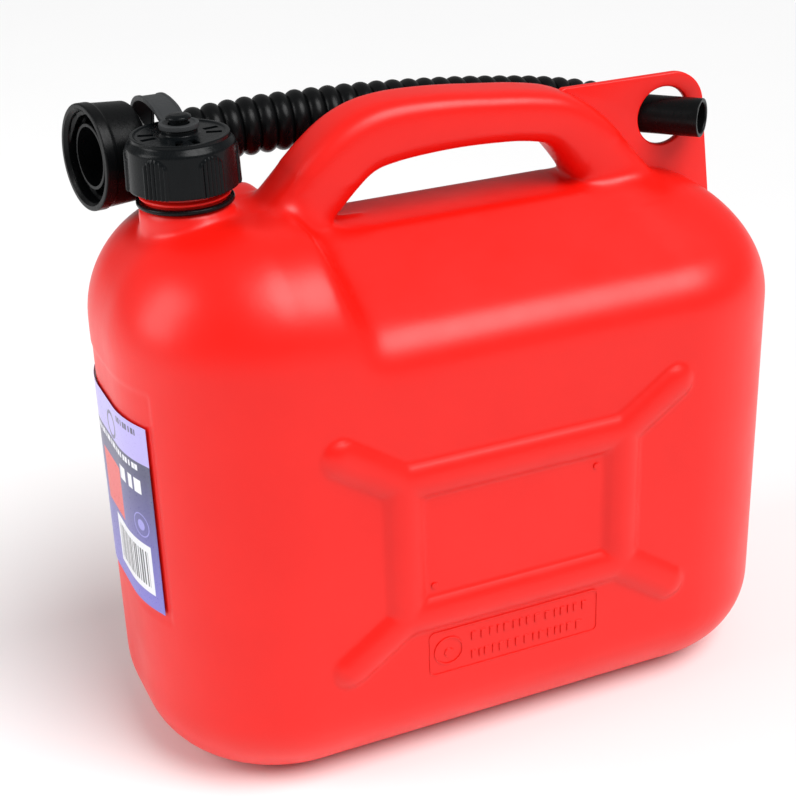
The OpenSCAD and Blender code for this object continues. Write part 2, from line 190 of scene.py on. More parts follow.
def even_steps(curve, step):
    """The curve at equal distances along itself."""
    lengths = np.concatenate([[0], np.cumsum(np.linalg.norm(np.diff(curve, axis=0), axis=1))])
    count = int(round(lengths[-1] / step))
    at = np.linspace(0, lengths[-1], count + 1)
    return np.stack([np.interp(at, lengths, curve[:, k]) for k in range(3)], axis=1), at


def ring_frames(curve):
    """Sideways and upright directions square to a curve that never runs straight up."""
    along = np.gradient(curve, axis=0)
    along /= np.linalg.norm(along, axis=1)[:, None]
    level = np.cross(along, UP)
    level /= np.linalg.norm(level, axis=1)[:, None]
    return level, np.cross(level, along)


def smoothstep(value, low, high):
    """Smooth rise from 0 at low to 1 at high."""
    t = np.clip((value - low) / (high - low), 0, 1)
    return t * t * (3 - 2 * t)


# ---------------------------------------------------------------- material helpers

class Shader:
    """A node material with one principled shader, built a link at a time."""

    def __init__(self, name, colour, roughness):
        self.material = bpy.data.materials.new(name)
        self.material.use_nodes = True
        self.tree = self.material.node_tree
        self.bsdf = self.tree.nodes["Principled BSDF"]
        self.bsdf.inputs["Base Color"].default_value = (*colour, 1)
        self.bsdf.inputs["Roughness"].default_value = roughness
        self.place = self.node("ShaderNodeTexCoord").outputs["Object"]
        self.normal = None

    def node(self, kind, **values):
        node = self.tree.nodes.new(kind)
        for key, value in values.items():
            if key in node.inputs:
                self.feed(node.inputs[key], value)
            else:
                setattr(node, key, value)
        return node

    def feed(self, socket, value):
        if isinstance(value, bpy.types.NodeSocket):
            self.tree.links.new(value, socket)
        else:
            socket.default_value = value

    def math(self, operation, *values):
        node = self.node("ShaderNodeMath", operation=operation)
        for socket, value in zip(node.inputs, values):
            self.feed(socket, value)
        return node.outputs[0]

    def noise(self, scale, detail=4, roughness=0.6, stretch=(1, 1, 1)):
        """Noise in 0..1 with features of about 1/scale metres."""
        mapping = self.node("ShaderNodeMapping")
        self.feed(mapping.inputs["Vector"], self.place)
        self.feed(mapping.inputs["Scale"], stretch)
        node = self.node("ShaderNodeTexNoise")
        self.feed(node.inputs["Vector"], mapping.outputs[0])
        self.feed(node.inputs["Scale"], scale)
        self.feed(node.inputs["Detail"], detail)
        self.feed(node.inputs["Roughness"], roughness)
        return node.outputs["Fac"]

    def blend_colours(self, factor, first, second):
        node = self.node("ShaderNodeMix", data_type="RGBA")
        self.feed(node.inputs[0], factor)
        for socket, value in ((node.inputs[6], first), (node.inputs[7], second)):
            self.feed(socket, value if isinstance(value, bpy.types.NodeSocket) else (*value, 1))
        return node.outputs[2]

    def to_range(self, value, low, high, new_low, new_high):
        node = self.node("ShaderNodeMapRange")
        for socket, item in zip(node.inputs, (value, low, high, new_low, new_high)):
            self.feed(socket, item)
        return node.outputs[0]

    def bump(self, height, distance, strength=1.0):
        """Adds a height field, in metres, to the surface's normal."""
        node = self.node("ShaderNodeBump")
        self.feed(node.inputs["Height"], height)
        self.feed(node.inputs["Distance"], distance)
        self.feed(node.inputs["Strength"], strength)
        if self.normal is not None:
            self.tree.links.new(self.normal, node.inputs["Normal"])
        self.normal = node.outputs[0]
        self.tree.links.new(self.normal, self.bsdf.inputs["Normal"])

    def split(self):
        node = self.node("ShaderNodeSeparateXYZ")
        self.feed(node.inputs[0], self.place)
        return node.outputs


def can_plastic():
    """Red blow-moulded polyethylene: satin, slightly mottled, with fine upright flow lines."""
    bright, deep = (0.88, 0.008, 0.003), (0.79, 0.0055, 0.002)
    shade = Shader("can_red_plastic", bright, 0.36)
    mottle = shade.noise(26, detail=3)
    flow = shade.noise(160, detail=3, stretch=(1, 1, 0.06))
    grain = shade.noise(1500, detail=2)
    shade.feed(shade.bsdf.inputs["Base Color"], shade.blend_colours(mottle, bright, deep))
    shade.feed(shade.bsdf.inputs["Roughness"], shade.to_range(mottle, 0.3, 0.7, 0.33, 0.41))
    shade.bsdf.inputs["Subsurface Weight"].default_value = 0.12
    shade.bsdf.inputs["Subsurface Radius"].default_value = (0.006, 0.0012, 0.0008)
    shade.bsdf.inputs["Subsurface Scale"].default_value = 1.0
    shade.bsdf.inputs["Specular IOR Level"].default_value = 0.4
    shade.bump(flow, 0.00012, 0.5)
    shade.bump(grain, 0.00004, 0.5)
    return shade.material


def black_plastic(name, colour, roughness, wear=0.005):
    """Dark injection-moulded plastic with a faint grain and handling marks."""
    shade = Shader(name, colour, roughness)
    smudge = shade.noise(90, detail=4)
    scratch = shade.noise(700, detail=3, stretch=(1, 1, 0.2))
    grain = shade.noise(3500, detail=2)
    lighter = tuple(c + wear * 0.4 for c in colour)
    shade.feed(shade.bsdf.inputs["Base Color"], shade.blend_colours(smudge, colour, lighter))
    shade.feed(
        shade.bsdf.inputs["Roughness"], shade.to_range(scratch, 0.3, 0.7, roughness - 0.07, roughness + 0.09)
    )
    shade.bump(grain, 0.00003, 0.6)
    shade.bump(smudge, 0.0002, 0.25)
    shade.bsdf.inputs["Specular IOR Level"].default_value = 0.14
    return shade.material


# ---------------------------------------------------------------- can body

# plan, base and the heights of the two parts of the top
HALF_LENGTH = 159
HALF_WIDTH = 77.5
SPINE_END = HALF_LENGTH - HALF_WIDTH
CORNER_RADIUS = 66
BASE_EDGE = 38
LAND_HEIGHT = 243
SHOULDER_HEIGHT = 257
SHOULDER_START = 207
SHOULDER_REACH = 50
SHOULDER_DROP = 2
SHOULDER_DROP_X = (-102, -82)
END_RADIUS = 60

# land that slopes from the handle to a round edge at the sides
LAND_REACH = 59
LAND_SLOPE = 0.55
EDGE_RADIUS = 26
EDGE_ANGLE = math.atan(1 / LAND_SLOPE)
EDGE_RUN = EDGE_RADIUS * (1 - math.cos(EDGE_ANGLE))
SIDE_HEIGHT = LAND_HEIGHT - LAND_SLOPE * (LAND_REACH - EDGE_RUN) - EDGE_RADIUS * math.sin(EDGE_ANGLE)

# fold between the full shoulder and the land
CREASE_X = -68
CREASE_LEAN = 0.04
CREASE_WIDTH = 16

# stretches that are smoothed after the parts are merged
VOXEL = 1.4
RELAX_SHARE = 0.5
SKIN_ROUNDS = 7
ROOT_ROUNDS = 16
CREASE_ROUNDS = 22
ROOT_PLACES = ((-74, 246, 24), (90, 238, 26))
ROOT_HALF_WIDTH = 34
CREASE_REACH = 28
CREASE_HEIGHTS = (185, 262)
CREASE_START_X = -96
CREASE_START_Y = 12

# stations of the handle: x, z and half height
HANDLE = [
    [-86, 232.6, 16], [-68.5, 250.8, 15], [-53, 266.5, 14.5], [-39.5, 276.5, 14], [-24, 280.5, 14],
    [0, 281.3, 13], [24, 280, 12], [44, 277.8, 11.8], [59, 273.5, 12.3], [73, 261.5, 14.3],
    [89, 241, 16], [102, 226, 16],
]
HANDLE_HALF_WIDTH = 16
HANDLE_SQUARENESS = 3.6

# ear that holds the spout's tip, in x and z
HOLE = np.array([117.5, 266])
HOLE_RADIUS = 13.6
EAR_THICKNESS = 3.6
EAR_CORNER = np.array([122, 268.5])
EAR_CORNER_RADIUS = 17.5
EAR_RIM = 1.1

# raised frame on both sides, in x and z
RIB_CENTRE = np.array([0, 114.7])
RIB_HALF_LENGTH = 54
RIB_HALF_HEIGHT = 34
RIB_ARM = np.array([27, 18.5])
RIB_WIDTH = 17
RIB_RISE = 3.6

# seat of the label
SEAT_BOTTOM = 86
SEAT_TOP = 197
SEAT_HALF_WIDTH = 43
SEAT_DEPTH = 0.5
SEAT_REACH = 9
SEAT_FADE = 0.8


def round_rise(d, reach):
    """Quarter circle that rises from 0 to 1 over the reach."""
    return np.sqrt(np.maximum(0, 1 - (1 - np.minimum(d, reach) / reach) ** 2))


def plan_outline(per_arc, per_side):
    """Closed plan outline of the can, counterclockwise."""
    flat_x = HALF_LENGTH - CORNER_RADIUS
    flat_y = HALF_WIDTH - CORNER_RADIUS
    points = []
    for turn, centre in ((0, (1, 1)), (90, (-1, 1)), (180, (-1, -1)), (270, (1, -1))):
        for k in range(per_arc + 1):
            a = math.radians(turn + 90 * k / per_arc)
            points.append([
                centre[0] * flat_x + CORNER_RADIUS * math.cos(a),
                centre[1] * flat_y + CORNER_RADIUS * math.sin(a),
            ])
    return resample(points + points[:1], 2 * flat_x / per_side)[:-1]


def past_crease(points):
    """Distance along X from the crease."""
    return points[:, 0] - CREASE_X - CREASE_LEAN * np.abs(points[:, 1])


def top_height(points, d):
    """Height of the can's top over plan points that lie d in from the side.

    The shoulder round the neck is full. Past the crease the top is scooped, with a round edge and a sloping
    land. Round the far end the scooped form turns into a plain round edge.
    """
    scooped = np.where(
        d < EDGE_RUN,
        SIDE_HEIGHT + EDGE_RADIUS * round_rise(d, EDGE_RADIUS),
        LAND_HEIGHT - LAND_SLOPE * np.maximum(0, LAND_REACH - d),
    )
    end = LAND_HEIGHT - END_RADIUS * (1 - round_rise(d, END_RADIUS))
    past_spine = np.maximum(points[:, 0] - SPINE_END, 0)
    share = past_spine ** 2 / np.maximum(past_spine ** 2 + points[:, 1] ** 2, 1e-9)
    share = np.where(past_spine > 0, share, 0)
    full = SHOULDER_START + (SHOULDER_HEIGHT - SHOULDER_START) * round_rise(d, SHOULDER_REACH)
    full = full - SHOULDER_DROP * smoothstep(points[:, 0], *SHOULDER_DROP_X)
    t = 1 - (1 - np.clip(past_crease(points) / CREASE_WIDTH + 0.5, 0, 1)) ** 2
    return full * (1 - t) + (scooped * (1 - share) + end * share) * t


def body_shell():
    """Closed surface of the can without its handle, as points and faces."""
    outline = plan_outline(28, 90)
    spine = np.stack([np.clip(outline[:, 0], -SPINE_END, SPINE_END), np.zeros(len(outline))], axis=1)
    arm = outline - spine
    reach = np.linalg.norm(arm, axis=1)[:, None]
    rings = []
    for d in BASE_EDGE * (1 - np.sin(np.linspace(0, math.pi / 2, 16))):
        plan = spine + arm * (1 - d / reach)
        height = BASE_EDGE * (1 - round_rise(d, BASE_EDGE))
        rings.append(np.column_stack([plan, np.full(len(plan), height)]))
    edge_steps = 16 * (1 - np.cos(np.linspace(0, math.pi / 2, 12)))
    inward = np.concatenate([edge_steps, np.arange(18, 76, 2.5), [HALF_WIDTH - 0.3]])
    for d in inward:
        plan = spine + arm * (1 - d / reach)
        rings.append(np.column_stack([plan, top_height(plan, np.full(len(plan), float(d)))]))
    count = len(outline)
    faces = grid_faces(len(rings), count)
    faces.append(tuple(reversed(range(count))))
    faces.append(tuple(range((len(rings) - 1) * count, len(rings) * count)))
    return np.vstack(rings), faces


def handle_tube():
    """Closed sweep of the handle's rounded section."""
    stations = catmull(HANDLE, 10)
    curve = np.column_stack([stations[:, 0], np.zeros(len(stations)), stations[:, 1]])
    along = np.gradient(curve, axis=0)
    along /= np.linalg.norm(along, axis=1)[:, None]
    across = np.column_stack([-along[:, 2], np.zeros(len(along)), along[:, 0]])
    angles = np.linspace(0, 2 * math.pi, 56, endpoint=False)
    power = 2 / HANDLE_SQUARENESS
    side = HANDLE_HALF_WIDTH * np.sign(np.cos(angles)) * np.abs(np.cos(angles)) ** power
    lift = np.sign(np.sin(angles)) * np.abs(np.sin(angles)) ** power
    points = (
        curve[:, None, :]
        + across[:, None, :] * (stations[:, 2, None] * lift)[:, :, None]
        + np.array([0, 1, 0]) * side[None, :, None]
    ).reshape(-1, 3)
    faces = grid_faces(len(curve), len(angles))
    faces.append(tuple(reversed(range(len(angles)))))
    faces.append(tuple(range(len(points) - len(angles), len(points))))
    return points, faces


def ear_layers(loop, inward, turns):
    """Layers of the ear's rim: the loop drawn in while the depth runs through the turns, in degrees."""
    flat = EAR_THICKNESS / 2 - EAR_RIM
    layers = []
    for a in np.radians(turns):
        ring = loop + inward * EAR_RIM * (1 - math.cos(a))
        depth = flat * np.sign(a) + EAR_RIM * math.sin(a)
        layers.append(np.column_stack([ring[:, 0], np.full(len(ring), depth), ring[:, 1]]))
    return layers


def ear_plate():
    """Upright plate with a round hole and rounded rims, meshed between the hole and its outline."""
    corner = [
        EAR_CORNER + EAR_CORNER_RADIUS * np.array([math.sin(a), math.cos(a)])
        for a in np.radians(np.linspace(0, 90, 24))
    ]
    upper = [[56, 262], [60, 284], [64, 286]]
    lower = [[145, 222], [145, 205], [90, 215], [79, 240]]
    outline = resample(upper + corner + lower + upper[:1], 1.5)[:-1]
    outward = outline - HOLE
    outward /= np.linalg.norm(outward, axis=1)[:, None]
    turns = np.linspace(90, -90, 9)
    layers = ear_layers(outline, -outward, turns) + ear_layers(HOLE + outward * HOLE_RADIUS, outward, -turns)
    return np.vstack(layers), grid_faces(len(layers), len(outline), close_rows=True)


def neck_foot():
    """Collar under the retainer ring, closed above and below."""
    profile = round_corners(
        [[0.01, 246], [20.2, 246], [20.2, 261.5], [17.6, 261.7], [17.6, 262.5], [0.01, 262.5]], 0.5
    )
    points, faces = lathe(profile, 96)
    return points + [NECK_X, 0, 0], faces


def joined(parts):
    """Several pairs of points and faces as one pair."""
    points, faces, shift = [], [], 0
    for part_points, part_faces in parts:
        points.append(part_points)
        faces += [tuple(i + shift for i in face) for face in part_faces]
        shift += len(part_points)
    return np.vstack(points), faces


def apply_modifiers(piece):
    """Gives the piece the mesh that its modifiers make."""
    evaluated = piece.evaluated_get(bpy.context.evaluated_depsgraph_get())
    mesh = bpy.data.meshes.new_from_object(evaluated)
    piece.modifiers.clear()
    piece.data = mesh
    return piece


def merged_by_voxels(piece, size):
    """One closed skin round overlapping parts."""
    modifier = piece.modifiers.new("merge", "REMESH")
    modifier.mode = "VOXEL"
    modifier.voxel_size = size * MM
    return apply_modifiers(piece)


def read_points(piece):
    """A mesh's points in millimetres."""
    points = np.zeros(len(piece.data.vertices) * 3)
    piece.data.vertices.foreach_get("co", points)
    return points.reshape(-1, 3) / MM


def write_points(piece, points):
    """Gives a mesh new points, in millimetres."""
    piece.data.vertices.foreach_set("co", (points * MM).ravel())
    piece.data.update()


def read_edges(piece):
    """A mesh's edges as pairs of point numbers."""
    edges = np.zeros(len(piece.data.edges) * 2, int)
    piece.data.edges.foreach_get("vertices", edges)
    return edges.reshape(-1, 2)


def relax(points, edges, weight, rounds):
    """Moves each point towards the mean of its neighbours, by its weight."""
    count = np.bincount(edges.ravel(), minlength=len(points))[:, None]
    for _ in range(rounds):
        total = np.zeros_like(points)
        for axis in range(3):
            total[:, axis] = (
                np.bincount(edges[:, 0], points[edges[:, 1], axis], minlength=len(points))
                + np.bincount(edges[:, 1], points[edges[:, 0], axis], minlength=len(points))
            )
        points = points + weight[:, None] * (total / count - points)
    return points


def distance_to_segment(points, start, end):
    """Distance of points from a straight stretch."""
    run = end - start
    t = np.clip(((points - start) @ run) / (run @ run), 0, 1)
    return np.linalg.norm(points - start - t[:, None] * run, axis=1)


def rib_distance(points):
    """Distance of (x, z) points from the middle lines of the raised frame."""
    best = np.full(len(points), 1e9)
    half = np.array([RIB_HALF_LENGTH, RIB_HALF_HEIGHT])
    for s in (-1, 1):
        rails = [
            (half * [-1, s], half * [1, s]),
            (half * [s, -1], half * [s, 1]),
        ]
        arms = [(half * [s, e], (half + RIB_ARM) * [s, e]) for e in (-1, 1)]
        for start, end in rails + arms:
            best = np.minimum(best, distance_to_segment(points, RIB_CENTRE + start, RIB_CENTRE + end))
    return best


def raise_ribs(points):
    """Raises the rib frame out of both sides as round beads."""
    plan = points[:, [0, 2]]
    on_side = smoothstep(np.abs(points[:, 1]), HALF_WIDTH - 3, HALF_WIDTH - 0.8)
    plan[:, 0] = np.where(points[:, 1] < 0, plan[:, 0], -plan[:, 0])
    d = rib_distance(plan)
    rise = RIB_RISE * np.maximum(0, 1 - (d / (RIB_WIDTH / 2 + 0.6)) ** 2) ** 0.8
    points[:, 1] += np.sign(points[:, 1]) * rise * on_side
    return points


def press_label_seat(points):
    """Sinks the seat that the label lies in a little below the skin round it."""
    on_end = 1 - smoothstep(points[:, 0] + HALF_LENGTH, SEAT_REACH - 1, SEAT_REACH + 1)
    across = 1 - smoothstep(np.abs(points[:, 1]), SEAT_HALF_WIDTH - SEAT_FADE, SEAT_HALF_WIDTH + SEAT_FADE)
    above = smoothstep(points[:, 2], SEAT_BOTTOM - SEAT_FADE, SEAT_BOTTOM + SEAT_FADE)
    below = 1 - smoothstep(points[:, 2], SEAT_TOP - SEAT_FADE, SEAT_TOP + SEAT_FADE)
    points[:, 0] += SEAT_DEPTH * on_end * across * above * below
    return points


def join_into(piece, other):
    """Adds another piece's mesh to a piece."""
    work = bmesh.new()
    work.from_mesh(piece.data)
    work.from_mesh(other.data)
    work.to_mesh(piece.data)
    work.free()
    bpy.data.objects.remove(other)
    return piece


def near_roots(points):
    """Points round the feet of the handle."""
    x, y, z = points.T
    near = np.zeros(len(points), bool)
    for root_x, root_z, reach in ROOT_PLACES:
        near |= np.hypot(x - root_x, z - root_z) < reach
    return near & (np.abs(y) < ROOT_HALF_WIDTH)


def near_crease(points):
    """Points along the fold between the shoulder and the land."""
    x, y, z = points.T
    near = np.abs(past_crease(points)) < CREASE_REACH
    near &= (z > CREASE_HEIGHTS[0]) & (z < CREASE_HEIGHTS[1])
    return near & (x > CREASE_START_X) & (np.abs(y) > CREASE_START_Y)


def make_can(material):
    """Body, handle and neck foot merged and relaxed, with the ear plate and the threaded neck let in."""
    piece = new_piece("can", *joined([body_shell(), handle_tube(), neck_foot()]), material)
    piece = merged_by_voxels(piece, VOXEL)
    points, edges = read_points(piece), read_edges(piece)
    everywhere = np.ones(len(points), bool)
    stretches = (
        (everywhere, SKIN_ROUNDS), (near_roots(points), ROOT_ROUNDS), (near_crease(points), CREASE_ROUNDS),
    )
    for chosen, rounds in stretches:
        points = relax(points, edges, np.where(chosen, RELAX_SHARE, 0.0), rounds)
    points = press_label_seat(raise_ribs(points))
    points[:, 2] = np.maximum(points[:, 2], 0)
    write_points(piece, points)
    for polygon in piece.data.polygons:
        polygon.use_smooth = True
    piece.data.materials.clear()
    piece.data.materials.append(material)
    join_into(piece, add_sharp_edges(new_piece("ear", *ear_plate(), material), 60))
    join_into(piece, add_sharp_edges(new_piece("neck", *neck_points(), material), 50))
    return piece


# ---------------------------------------------------------------- raised marks and dots

PLATE_X = (-44, 43)
PLATE_Z = (46.5, 69.8)
PLATE_RISE = 0.4
MARK_RISE = 0.6
MARK_ROWS = ((60.3, 65.2), (50.4, 55.3))
MARK_START = -23
MARK_END = 39
MARK_WIDTHS = (1.2, 3.6)
MARK_GAPS = (1.2, 2.2)
RING_CENTRE = (-34.2, 58.4)
RING_RADIUS = 7.4
RING_RISE = 0.5
DOT_OFFSET = np.array([40.5, 20])
DOT_RADIUS = 1.7
DOT_RISE = 0.7


def rounded_loop(low, high, radius, steps=6):
    """Counterclockwise rounded rectangle between two corners."""
    centre, half = (np.array(low) + high) / 2, (np.array(high) - low) / 2
    loop = []
    for turn, sign in ((0, (1, 1)), (90, (-1, 1)), (180, (-1, -1)), (270, (1, -1))):
        for k in range(steps + 1):
            a = math.radians(turn + 90 * k / steps)
            loop.append(centre + (half - radius) * sign + radius * np.array([math.cos(a), math.sin(a)]))
    return np.array(loop)


def circle_loop(centre, radius, steps=48):
    """Counterclockwise circle."""
    angles = np.linspace(0, 2 * math.pi, steps, endpoint=False)
    return np.array(centre) + radius * np.column_stack([np.cos(angles), np.sin(angles)])


def raised_band(outer, inner, base_y, rise):
    """Low frame between two loops of (x, z) that stands out of the front of the can."""
    middle = (outer + inner) / 2
    layers = [
        np.column_stack([loop[:, 0], np.full(len(loop), y), loop[:, 1]])
        for loop, y in (
            (outer, base_y + 0.3), (outer * 0.7 + middle * 0.3, base_y - rise),
            (inner * 0.7 + middle * 0.3, base_y - rise), (inner, base_y + 0.3),
        )
    ]
    return np.vstack(layers), grid_faces(4, len(outer), close_rows=True)


def raised_pad(loop, base_y, rise):
    """Low block over one loop of (x, z), slightly narrower at its top."""
    centre = loop.mean(axis=0)
    top = centre + (loop - centre) * 0.82
    layers = [
        np.column_stack([ring[:, 0], np.full(len(ring), y), ring[:, 1]])
        for ring, y in ((loop, base_y + 0.3), (top, base_y - rise))
    ]
    faces = grid_faces(2, len(loop))
    faces.append(tuple(range(len(loop), 2 * len(loop))))
    faces.append(tuple(reversed(range(len(loop)))))
    return np.vstack(layers), faces


def make_marks(material):
    """Plain bars, a ring and a frame in place of the moulded marks."""
    front = -HALF_WIDTH
    low, high = (PLATE_X[0], PLATE_Z[0]), (PLATE_X[1], PLATE_Z[1])
    parts = [
        raised_band(
            rounded_loop(low, high, 3), rounded_loop(np.add(low, 0.9), np.subtract(high, 0.9), 2.4), front,
            PLATE_RISE,
        ),
        raised_band(
            circle_loop(RING_CENTRE, RING_RADIUS), circle_loop(RING_CENTRE, RING_RADIUS - 1), front, RING_RISE
        ),
        raised_pad(circle_loop(np.add(RING_CENTRE, (0, -1)), 2.6, 24), front, RING_RISE),
    ]
    for side in (-1, 1):
        parts.append(raised_pad(circle_loop(RIB_CENTRE + side * DOT_OFFSET, DOT_RADIUS, 24), front, DOT_RISE))
    random = np.random.default_rng(7)
    for bottom, top in MARK_ROWS:
        x = MARK_START
        while x < MARK_END - 3:
            width = random.uniform(*MARK_WIDTHS)
            parts.append(raised_pad(rounded_loop((x, bottom), (x + width, top), 0.5, 2), front, MARK_RISE))
            x += width + random.uniform(*MARK_GAPS)
    return add_sharp_edges(new_piece("moulded_marks", *joined(parts), material))


# ---------------------------------------------------------------- label

LABEL_BOTTOM = 90
LABEL_TOP = 181
LABEL_TURN = 25.7
LABEL_STAND = 0.3
LABEL_CURL = 0.25
LABEL_THICKNESS = 0.18


def label_material():
    """Printed film: a pale band over a violet field, a red block, a ring and a striped panel, all generic."""
    shade = Shader("label_film", (0.15, 0.13, 0.45), 0.32)
    y, z = (shade.math("MULTIPLY", axis, 1 / MM) for axis in list(shade.split())[1:])

    def between(value, low, high, soft=0.15):
        rising = shade.to_range(value, low - soft, low + soft, 0, 1)
        falling = shade.to_range(value, high - soft, high + soft, 1, 0)
        return shade.math("MULTIPLY", rising, falling)

    def rectangle(y_low, y_high, z_low, z_high):
        return shade.math("MULTIPLY", between(y, y_low, y_high), between(z, z_low, z_high))

    def bars(y_low, y_high, z_low, z_high, pitch, share):
        """A row of plain upright bars of uneven width."""
        wave = shade.math("SINE", shade.math("MULTIPLY", y, 2 * math.pi / pitch))
        uneven = shade.math("SINE", shade.math("MULTIPLY", y, 2 * math.pi / (pitch * 2.73)))
        mixed = shade.math("ADD", wave, shade.math("MULTIPLY", uneven, 0.6))
        on = shade.to_range(mixed, share - 0.15, share + 0.15, 0, 1)
        return shade.math("MULTIPLY", on, rectangle(y_low, y_high, z_low, z_high))

    def circle(y_centre, z_centre, radius, width):
        away = shade.math(
            "SQRT",
            shade.math(
                "ADD",
                shade.math("POWER", shade.math("SUBTRACT", y, y_centre), 2.0),
                shade.math("POWER", shade.math("SUBTRACT", z, z_centre), 2.0),
            ),
        )
        return between(away, radius - width, radius, 0.2)

    field = shade.blend_colours(shade.to_range(z, 92, 158, 0, 1), (0.17, 0.15, 0.62), (0.035, 0.035, 0.12))
    # masks in y and z, in millimetres, each with its ink, from the lowest layer up
    layers = [
        (between(z, 163, 190), (0.48, 0.42, 0.86)),
        (bars(-33, -15, 175.6, 178.4, 2.4, -0.3), (0.07, 0.06, 0.14)),
        (circle(-6, 170, 6.5, 1.6), (0.09, 0.08, 0.2)),
        (bars(-33, 22, 158.6, 161.4, 2.9, -0.35), (0.85, 0.85, 0.92)),
        (bars(-34, -13, 147.4, 154.2, 6.4, -0.5), (0.9, 0.9, 0.95)),
        (rectangle(-11.5, 14, 125, 151), (0.78, 0.03, 0.025)),
        (circle(-30, 131.5, 5.8, 0.5), (0.32, 0.3, 0.75)),
        (circle(-30, 131.5, 2.6, 2.6), (0.32, 0.3, 0.75)),
        (rectangle(-35.2, 3, 97.6, 122.3), (0.85, 0.86, 0.9)),
        (bars(-32.6, 0.5, 100.8, 118.6, 2.1, -0.1), (0.05, 0.06, 0.07)),
    ]
    colour = field
    for mask, paint in layers:
        colour = shade.blend_colours(mask, colour, paint)
    fibre = shade.noise(1200, detail=3)
    paper = shade.blend_colours(shade.math("MULTIPLY", fibre, 0.08), colour, (1, 1, 1))
    shade.feed(shade.bsdf.inputs["Base Color"], paper)
    shade.feed(shade.bsdf.inputs["Roughness"], shade.to_range(fibre, 0.3, 0.7, 0.26, 0.38))
    shade.bump(shade.noise(60, detail=2), 0.0003, 0.35)
    shade.bump(fibre, 0.00002, 0.5)
    return shade.material


def sheet_faces(rows, columns):
    """Front, back and rim of a thin sheet whose back rows are stored before its front rows."""
    shift = rows * columns
    back = grid_faces(rows, columns, close_columns=False)
    front = [tuple(i + shift for i in reversed(face)) for face in back]
    loop = list(range(columns))
    loop += [row * columns + columns - 1 for row in range(1, rows)]
    loop += [(rows - 1) * columns + column for column in range(columns - 2, -1, -1)]
    loop += [row * columns for row in range(rows - 2, 0, -1)]
    rim = [(b, a, a + shift, b + shift) for a, b in zip(loop, loop[1:] + loop[:1])]
    return back + front + rim


def make_label(material):
    """Thin film that follows the round end of the can, with its edge lifting very slightly."""
    flat_x = HALF_LENGTH - CORNER_RADIUS
    flat_y = HALF_WIDTH - CORNER_RADIUS
    plan = []
    for side in (-1, 1):
        arc = [
            (-flat_x - CORNER_RADIUS * math.cos(a), side * (flat_y + CORNER_RADIUS * math.sin(a)),
             -math.cos(a), side * math.sin(a), abs(a))
            for a in np.radians(np.linspace(LABEL_TURN, 0, 26))
        ]
        plan += arc if side < 0 else arc[::-1]
    plan = np.array(plan)
    near_edge = smoothstep(plan[:, 4], math.radians(LABEL_TURN - 2.5), math.radians(LABEL_TURN))
    lift = LABEL_STAND + LABEL_CURL * near_edge
    heights = np.linspace(LABEL_BOTTOM, LABEL_TOP, 40)
    layers = []
    for stand in (0, LABEL_THICKNESS):
        out = plan[:, :2] + plan[:, 2:4] * (lift + stand)[:, None]
        for z in heights:
            layers.append(np.column_stack([out, np.full(len(out), z)]))
    faces = sheet_faces(len(heights), len(plan))
    return add_sharp_edges(new_piece("label_film", np.vstack(layers), faces, material))


# ---------------------------------------------------------------- neck

NECK_BORE = 16
NECK_RADIUS = 17.6
NECK_TOP = 283.6
NECK_FOOT = 240
THREAD_PITCH = 5
THREAD_DEPTH = 1.7
THREAD_START = 271.5
THREAD_TURNS = 1.9
BEAD_Z = 266
TURN_STEPS = 288


def thread_height(angle, z, start, turns, pitch, width=2.2):
    """0..1 height of a screw ridge at an angle and height, fading at both ends."""
    best = np.zeros(np.broadcast(angle, z).shape)
    for lap in range(-1, int(turns) + 2):
        along = angle / (2 * math.pi) + lap
        middle = start + along * pitch
        ridge = 1 - smoothstep(np.abs(z - middle), width * 0.22, width * 0.5)
        ends = smoothstep(along, 0, 0.08) * (1 - smoothstep(along, turns - 0.08, turns))
        best = np.maximum(best, ridge * ends)
    return best


def neck_points():
    """Threaded neck from the collar up, and its bore."""
    outside = [[NECK_RADIUS, 258], [NECK_RADIUS, NECK_TOP - 0.5], [NECK_RADIUS - 0.5, NECK_TOP]]
    inside = [[NECK_BORE + 0.3, NECK_TOP], [NECK_BORE, NECK_TOP - 0.4]]
    inside += [[NECK_BORE, 246], [NECK_BORE, NECK_FOOT]]
    profile = np.vstack([resample(outside, 0.4), resample(inside, 1), [[1, NECK_FOOT]]])
    points, faces = lathe(profile, TURN_STEPS)
    angle = np.arctan2(points[:, 1], points[:, 0]) % (2 * math.pi)
    radius = np.hypot(points[:, 0], points[:, 1])
    bead = 1.9 * np.sqrt(np.maximum(0, 1 - ((points[:, 2] - BEAD_Z) / 1.1) ** 2))
    ridge = THREAD_DEPTH * thread_height(angle, points[:, 2], THREAD_START, THREAD_TURNS, THREAD_PITCH)
    grow = np.where(radius > NECK_RADIUS - 0.1, np.maximum(bead, ridge), 0)
    points[:, :2] *= ((radius + grow) / radius)[:, None]
    return points + [NECK_X, 0, 0], faces


# ---------------------------------------------------------------- cap

CAP_BORE = 21.4
SKIRT_BOTTOM = cap_low[2]
SKIRT_RADIUS = 23.5
SKIRT_TOP_RADIUS = 22.9
DISC_TOP = 291.7
STUD_TOP = cap_high[2]
GRIP_GROUPS = 6
GRIPS = 6
GRIP_STEP = math.radians(4.6)
GRIP_TURN = math.radians(44.5)
GRIP_BASE = 0.05
GRIP_RISE = 0.75
GRIP_TOP = 286.6
GRIP_ARCH = 3.2
SLOT_TURN = math.radians(-5)
SLOT_SPREAD = math.radians(13)
SLOT_START = 10.8
SLOT_LENGTH = 6.6
SLOT_WIDTH = 3


